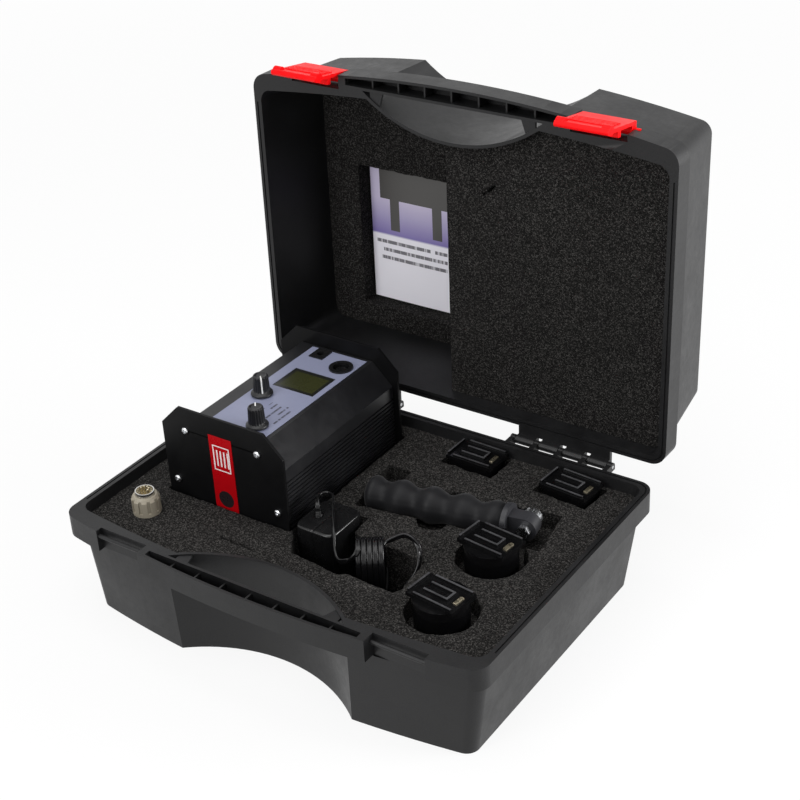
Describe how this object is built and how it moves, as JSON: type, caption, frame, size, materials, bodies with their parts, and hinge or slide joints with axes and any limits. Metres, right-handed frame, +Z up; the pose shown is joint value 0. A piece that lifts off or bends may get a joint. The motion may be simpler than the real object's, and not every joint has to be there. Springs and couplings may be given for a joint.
{
  "type": "stroboscope set",
  "caption": "LED stroboscope with a ribbed housing and a knob panel, stored with its handle, supply, plug adapters and trigger plug in a foam-lined carrying case with an open lid.",
  "frame": {"origin": "middle of the carrying case's underside, on the surface it stands on", "axes": "+X to the right seen from the latches, +Y to the hinges, +Z up"},
  "size_m": [0.37, 0.3739, 0.3636],
  "materials": {
    "case_shell": "moulded black polypropylene with a fine satin grain",
    "steel_pin": "plain steel pin",
    "foam": "charcoal open-cell foam with a fine speckle",
    "latch_red": "bright red moulded plastic",
    "paper": "printed paper booklet",
    "black_anodised": "black anodised aluminium",
    "screw_steel": "bright plated steel",
    "red_label": "red printed film",
    "panel_film": "lavender-grey printed film",
    "display_film": "olive reflective display",
    "component": "moulded component body",
    "board_green": "green laminate board",
    "brass": "turned brass",
    "board_white": "white laminate board",
    "emitter_yellow": "yellow phosphor",
    "clear_lens": "clear moulded lens",
    "bare_aluminium": "plain aluminium plate",
    "knob_black": "black plastic with a pale pointer line",
    "shaft_steel": "turned steel shaft",
    "soft_grip": "dark grey soft grip",
    "head_grey": "dark grey moulded head",
    "supply_black": "black moulded case, lightly polished",
    "cord_black": "black twin lead",
    "adapter_black": "black moulded plug body",
    "pin_metal": "nickel-brass contact",
    "ring_ivory": "ivory moulded ring"
  },
  "bodies": {
    "case": {"case_base": "case_shell", "hinge_pins": "steel_pin", "base_foam": "foam", "base_foam_floor": "foam"},
    "lid": {"case_lid": "case_shell", "lid_foam_right": "foam", "lid_foam_left": "foam"},
    "left_latch": {"latch_left": "latch_red"},
    "right_latch": {"latch_right": "latch_red"},
    "instructions": {"booklet": "paper"},
    "stroboscope": {"housing": "black_anodised", "end_plate_left": "black_anodised", "end_plate_right": "black_anodised", "end_plate_screws": "screw_steel", "side_label": "red_label", "panel_label": "panel_film", "display_window": "display_film", "display_module": "component", "rate_encoder": "component", "mode_switch": "component", "power_jack": "component", "trigger_socket": "component", "control_board": "board_green", "driver_board": "board_green", "driver_parts": "component", "board_spacers": "brass", "led_board": "board_white", "led_emitters": "emitter_yellow", "lens_array": "clear_lens", "front_window": "clear_lens", "heat_spreader": "bare_aluminium", "handle_insert": "brass"},
    "rate_control": {"rate_knob": "knob_black", "rate_shaft": "shaft_steel"},
    "mode_control": {"mode_knob": "knob_black", "mode_shaft": "shaft_steel"},
    "handle": {"handle_grip": "soft_grip", "handle_head": "head_grey", "tilt_screw": "screw_steel"},
    "handle_nut": {"tilt_nut": "head_grey"},
    "supply": {"supply_shell_left": "supply_black", "supply_shell_right": "supply_black", "supply_board": "component", "cord_relief": "cord_black", "supply_lead": "cord_black", "cord_hank": "cord_black", "cord_tie": "cord_black", "cord_tail": "cord_black", "dc_plug": "cord_black"},
    "adapter_a": {"adapter_a_body": "adapter_black", "adapter_a_pins": "pin_metal"},
    "adapter_b": {"adapter_b_body": "adapter_black", "adapter_b_pins": "pin_metal"},
    "adapter_c": {"adapter_c_body": "adapter_black", "adapter_c_pins": "pin_metal"},
    "adapter_d": {"adapter_d_body": "adapter_black", "adapter_d_pins": "pin_metal"},
    "trigger_plug": {"din_shell": "shaft_steel", "din_pins": "pin_metal"},
    "trigger_ring": {"din_ring": "ring_ivory"}
  },
  "joints": [
    {"name": "lid_hinge", "type": "hinge", "parent": "case", "child": "lid", "pos_m": [0, 0.145, 0.082], "axis": [-1, 0, 0], "range_deg": [-91, 0]},
    {"name": "left_latch_pivot", "type": "hinge", "parent": "lid", "child": "left_latch", "pos_m": [-0.123, 0.16567, 0.34918], "axis": [-1, 0, 0], "range_deg": [-8, 70]},
    {"name": "right_latch_pivot", "type": "hinge", "parent": "lid", "child": "right_latch", "pos_m": [0.123, 0.16567, 0.34918], "axis": [-1, 0, 0], "range_deg": [-8, 70]},
    {"name": "booklet_out", "type": "slide", "parent": "lid", "child": "instructions", "axis": [0, -0.9998, 0.0175], "range_m": [0, 0.03]},
    {"name": "stroboscope_lift", "type": "slide", "parent": "case", "child": "stroboscope", "axis": [0, 0, 1], "range_m": [0, 0.09]},
    {"name": "rate_turn", "type": "hinge", "parent": "stroboscope", "child": "rate_control", "pos_m": [-0.098, 0.024, 0.1403], "axis": [0, 0, -1], "range_deg": [-140, 140]},
    {"name": "mode_turn", "type": "hinge", "parent": "stroboscope", "child": "mode_control", "pos_m": [-0.0715, -0.0155, 0.1403], "axis": [0, 0, -1], "range_deg": [-60, 60]},
    {"name": "handle_lift", "type": "slide", "parent": "case", "child": "handle", "axis": [0, 0, 1], "range_m": [0, 0.06]},
    {"name": "tilt_nut_turn", "type": "hinge", "parent": "handle", "child": "handle_nut", "pos_m": [0.12121, 0.05554, 0.078], "axis": [-0.165, 0.9863, 0], "continuous": true},
    {"name": "supply_lift", "type": "slide", "parent": "case", "child": "supply", "axis": [0, 0, 1], "range_m": [0, 0.1]},
    {"name": "adapter_a_lift", "type": "slide", "parent": "case", "child": "adapter_a", "axis": [0, 0, 1], "range_m": [0, 0.05]},
    {"name": "adapter_b_lift", "type": "slide", "parent": "case", "child": "adapter_b", "axis": [0, 0, 1], "range_m": [0, 0.05]},
    {"name": "adapter_c_lift", "type": "slide", "parent": "case", "child": "adapter_c", "axis": [0, 0, 1], "range_m": [0, 0.06]},
    {"name": "adapter_d_lift", "type": "slide", "parent": "case", "child": "adapter_d", "axis": [0, 0, 1], "range_m": [0, 0.06]},
    {"name": "trigger_plug_lift", "type": "slide", "parent": "case", "child": "trigger_plug", "axis": [0, 0, 1], "range_m": [0, 0.05]},
    {"name": "trigger_ring_turn", "type": "hinge", "parent": "trigger_plug", "child": "trigger_ring", "pos_m": [-0.14, -0.074, 0.084], "axis": [0, 0, 1], "range_deg": [-30, 30]}
  ]
}
